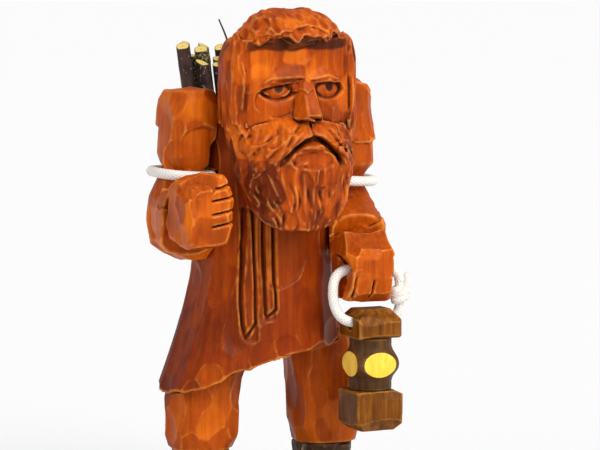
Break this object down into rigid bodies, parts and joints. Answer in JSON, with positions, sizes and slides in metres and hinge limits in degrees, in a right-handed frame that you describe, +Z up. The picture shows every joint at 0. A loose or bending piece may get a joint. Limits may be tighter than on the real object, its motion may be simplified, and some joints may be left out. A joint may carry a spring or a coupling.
{
  "type": "carved wooden dwarf",
  "caption": "Carved and stained wooden dwarf on a plinth, with a bundle of twigs tied to its back and a lantern swinging from a cord in its fist.",
  "frame": {"origin": "middle of the plinth's underside", "axes": "+Z up, the figure faces -Y, its left hand with the lantern is at +X"},
  "size_m": [0.1679, 0.1721, 0.358],
  "materials": {
    "stained_wood": "gouged, red-brown stain, satin varnish",
    "dark_wood": "dark brown stain, satin varnish",
    "lantern_wood": "olive-brown stain, satin",
    "lantern_paint": "brown stain with yellow painted panes",
    "cotton_cord": "braided cotton",
    "twig_bark": "bark with pale cut ends",
    "dowel_wood": "plain"
  },
  "bodies": {
    "figure": {"plinth": "dark_wood", "right_boot": "dark_wood", "right_trouser_leg": "stained_wood", "right_leg_dowel": "dowel_wood", "left_boot": "dark_wood", "left_trouser_leg": "stained_wood", "left_leg_dowel": "dowel_wood", "coat": "stained_wood", "neck_dowel": "dowel_wood", "head": "stained_wood", "right_shoulder_dowel": "dowel_wood", "right_sleeve": "stained_wood", "right_wrist_dowel": "dowel_wood", "right_fist": "stained_wood", "left_shoulder_dowel": "dowel_wood", "left_sleeve": "stained_wood", "left_wrist_dowel": "dowel_wood", "left_fist": "stained_wood", "twig_01": "twig_bark", "twig_02": "twig_bark", "twig_03": "twig_bark", "twig_04": "twig_bark", "twig_05": "twig_bark", "twig_06": "twig_bark", "twig_07": "twig_bark", "twig_08": "twig_bark", "twig_09": "twig_bark", "twig_10": "twig_bark", "twig_11": "twig_bark", "twig_12": "twig_bark", "twig_13": "twig_bark", "twig_14": "twig_bark", "twig_15": "twig_bark", "twig_16": "twig_bark", "twig_17": "twig_bark", "twig_18": "twig_bark", "strap_cord": "cotton_cord", "strap_knot": "cotton_cord"},
    "lantern_cord": {"lantern_cord": "cotton_cord", "lantern_cord_knot": "cotton_cord"},
    "lantern": {"lantern_base": "lantern_wood", "lantern_light": "lantern_paint", "lantern_cap": "lantern_wood", "lantern_dowel": "dowel_wood"}
  },
  "joints": [
    {"name": "lantern_cord_swing", "type": "hinge", "parent": "figure", "child": "lantern_cord", "pos_m": [0.0475, -0.057, 0.187], "axis": [-1, 0, 0], "range_deg": [-5, 45]},
    {"name": "lantern_tilt", "type": "hinge", "parent": "lantern_cord", "child": "lantern", "pos_m": [0.052, -0.057, 0.1521], "axis": [-1, 0, 0], "range_deg": [-5, 25]}
  ]
}
